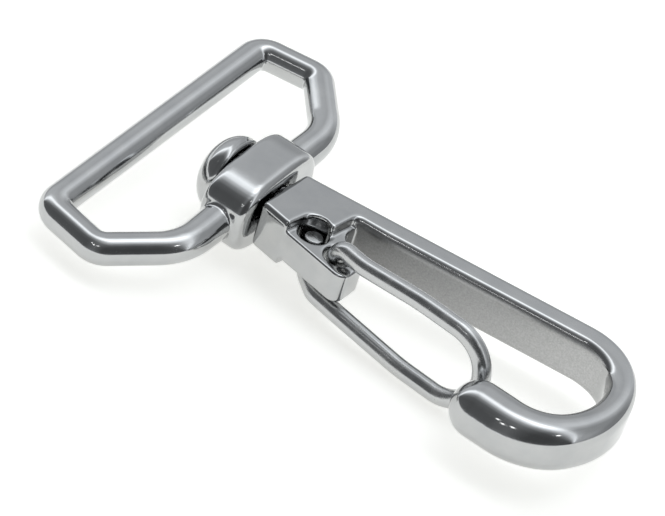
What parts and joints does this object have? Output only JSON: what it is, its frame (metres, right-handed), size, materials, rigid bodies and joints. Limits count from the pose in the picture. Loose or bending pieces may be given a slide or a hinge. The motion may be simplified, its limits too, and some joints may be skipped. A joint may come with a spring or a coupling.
{
  "type": "snap shackle",
  "caption": "Swivel snap hook with a six-cornered webbing eye, a cast hook body with a rounded nose, and a sprung gate bent from one wire.",
  "frame": {"origin": "under the middle of the part's box, level with its lowest point", "axes": "+X along the swivel axis from the webbing eye to the hook, -Y towards the gate, +Z square to the plane of the hook"},
  "size_m": [0.098, 0.0648, 0.0172],
  "materials": {
    "cast_body": "polished plated casting",
    "rivet": "polished plated rivet",
    "cast_eye": "polished plated casting",
    "gate_wire": "plated spring wire"
  },
  "bodies": {
    "hook": {"hook_body": "cast_body", "swivel_pin": "rivet"},
    "eye": {"bail": "cast_eye"},
    "gate": {"wire_gate": "gate_wire"}
  },
  "joints": [
    {"name": "swivel", "type": "hinge", "parent": "hook", "child": "eye", "pos_m": [-0.02424, 0, 0.00859], "axis": [1, 0, 0], "continuous": true},
    {"name": "gate_pivot", "type": "hinge", "parent": "hook", "child": "gate", "pos_m": [-0.00784, -0.005, 0.00859], "axis": [0, 0, 1], "range_deg": [0, 22], "stiffness_Nm_per_rad": 0.12, "springref_deg": -6.88}
  ]
}
